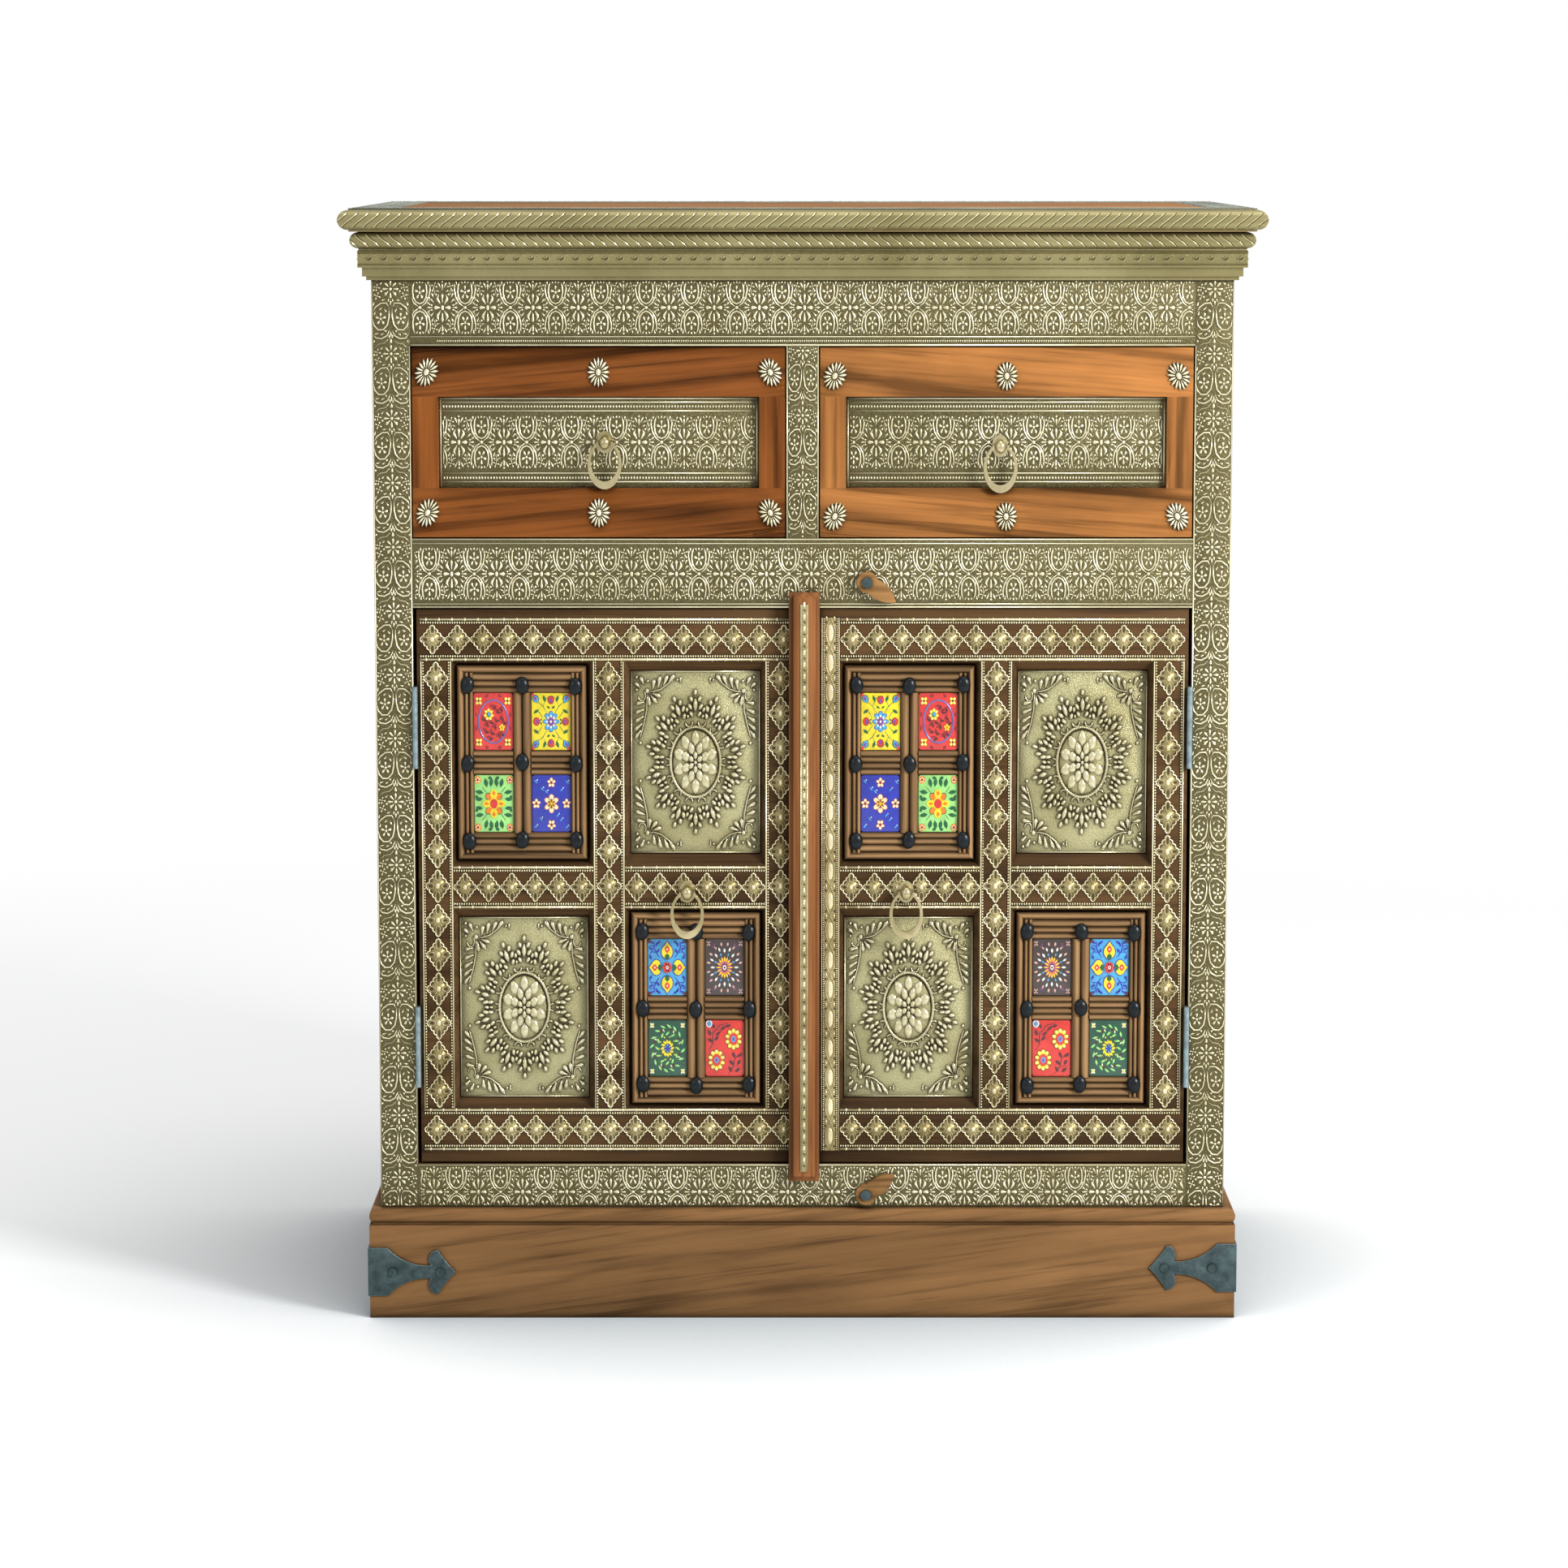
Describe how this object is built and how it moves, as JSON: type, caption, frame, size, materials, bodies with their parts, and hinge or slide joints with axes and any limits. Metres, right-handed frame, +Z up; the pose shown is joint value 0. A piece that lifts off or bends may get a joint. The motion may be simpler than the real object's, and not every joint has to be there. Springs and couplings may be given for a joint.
{
  "type": "brass-clad carved wood cabinet",
  "caption": "Free-standing wood cabinet clad in embossed brass, with drawers over a pair of inset doors set with painted tiles and brass medallions.",
  "frame": {"origin": "on the floor, at the centre of the cabinet's bounding box", "axes": "+X to the cabinet's right as seen from the front, +Y to the back, +Z up; the front faces -Y"},
  "size_m": [0.735, 0.4046, 0.9],
  "materials": {
    "dark_wood": "waxed, worn",
    "light_wood": "waxed",
    "plain_wood": "unfinished",
    "embossed_brass": "embossed sheet with dark patina",
    "cast_brass": "aged, rubbed bright",
    "painted_tile": "hand-painted, glossy",
    "black_glaze": "glossy",
    "iron": "forged, blued, worn bright at the edges",
    "steel": "dull"
  },
  "bodies": {
    "cabinet": {"plinth_front": "dark_wood", "plinth_sides": "dark_wood", "plinth_back": "plain_wood", "corner_straps": "iron", "screws": "steel", "floor_board": "plain_wood", "shelf": "plain_wood", "left_side_panel": "dark_wood", "right_side_panel": "dark_wood", "side_sheets": "embossed_brass", "back_panel": "plain_wood", "face_stiles": "dark_wood", "top_rail": "dark_wood", "mid_rail": "dark_wood", "bottom_rail": "dark_wood", "drawer_divider": "dark_wood", "face_sheets": "embossed_brass", "drawer_runners": "plain_wood", "cornice_core": "dark_wood", "scroll_band": "embossed_brass", "lower_rope": "embossed_brass", "upper_rope": "embossed_brass", "top_panel": "dark_wood", "top_border_sheet": "embossed_brass", "frame_hinge_leaves": "steel", "hinge_pins": "steel"},
    "left_door": {"left_door_frame": "dark_wood", "left_door_strips": "embossed_brass", "left_door_medallions": "embossed_brass", "left_door_tile_frames": "dark_wood", "left_door_tiles": "painted_tile", "left_door_studs": "black_glaze", "left_door_knob": "cast_brass", "left_door_hinge_leaves": "steel"},
    "left_drawer": {"left_drawer_front": "light_wood", "left_drawer_sheet": "embossed_brass", "left_drawer_box": "plain_wood", "left_drawer_rosettes": "embossed_brass", "left_drawer_knob": "cast_brass"},
    "right_door": {"right_door_frame": "dark_wood", "right_door_strips": "embossed_brass", "right_door_medallions": "embossed_brass", "right_door_tile_frames": "dark_wood", "right_door_tiles": "painted_tile", "right_door_studs": "black_glaze", "right_door_knob": "cast_brass", "right_door_hinge_leaves": "steel", "astragal": "light_wood", "astragal_strip": "embossed_brass"},
    "right_drawer": {"right_drawer_front": "light_wood", "right_drawer_sheet": "embossed_brass", "right_drawer_box": "plain_wood", "right_drawer_rosettes": "embossed_brass", "right_drawer_knob": "cast_brass"},
    "left_door_ring": {"left_door_ring": "cast_brass"},
    "left_drawer_ring": {"left_drawer_ring": "cast_brass"},
    "right_door_ring": {"right_door_ring": "cast_brass"},
    "right_drawer_ring": {"right_drawer_ring": "cast_brass"},
    "upper_turn_button": {"upper_turn_button": "light_wood"},
    "lower_turn_button": {"lower_turn_button": "light_wood"}
  },
  "joints": [
    {"name": "right_door_hinge", "type": "hinge", "parent": "cabinet", "child": "right_door", "pos_m": [0.31125, -0.18015, 0.3535], "axis": [0, 0, 1], "range_deg": [0, 110]},
    {"name": "left_door_hinge", "type": "hinge", "parent": "cabinet", "child": "left_door", "pos_m": [-0.31125, -0.18015, 0.3535], "axis": [0, 0, -1], "range_deg": [0, 110]},
    {"name": "left_drawer_slide", "type": "slide", "parent": "cabinet", "child": "left_drawer", "axis": [0, -1, 0], "range_m": [0, 0.25]},
    {"name": "right_drawer_slide", "type": "slide", "parent": "cabinet", "child": "right_drawer", "axis": [0, -1, 0], "range_m": [0, 0.25]},
    {"name": "left_drawer_ring_swing", "type": "hinge", "parent": "left_drawer", "child": "left_drawer_ring", "pos_m": [-0.15795, -0.18075, 0.71325], "axis": [-1, 0, 0], "range_deg": [0, 90]},
    {"name": "right_drawer_ring_swing", "type": "hinge", "parent": "right_drawer", "child": "right_drawer_ring", "pos_m": [0.15795, -0.18075, 0.71025], "axis": [-1, 0, 0], "range_deg": [0, 90]},
    {"name": "left_door_ring_swing", "type": "hinge", "parent": "left_door", "child": "left_door_ring", "pos_m": [-0.0929, -0.18575, 0.3501], "axis": [-1, 0, 0], "range_deg": [0, 90]},
    {"name": "right_door_ring_swing", "type": "hinge", "parent": "right_door", "child": "right_door_ring", "pos_m": [0.0837, -0.18575, 0.3501], "axis": [-1, 0, 0], "range_deg": [0, 90]},
    {"name": "upper_turn_button_pivot", "type": "hinge", "parent": "cabinet", "child": "upper_turn_button", "pos_m": [0.0517, -0.18205, 0.6017], "axis": [0, 1, 0], "range_deg": [-65, 55]},
    {"name": "lower_turn_button_pivot", "type": "hinge", "parent": "cabinet", "child": "lower_turn_button", "pos_m": [0.0517, -0.18205, 0.1019], "axis": [0, -1, 0], "range_deg": [-45, 55]}
  ],
  "couplings": [
    {"joint": "left_door_hinge", "follows": "right_door_hinge", "ratio": 1}
  ]
}
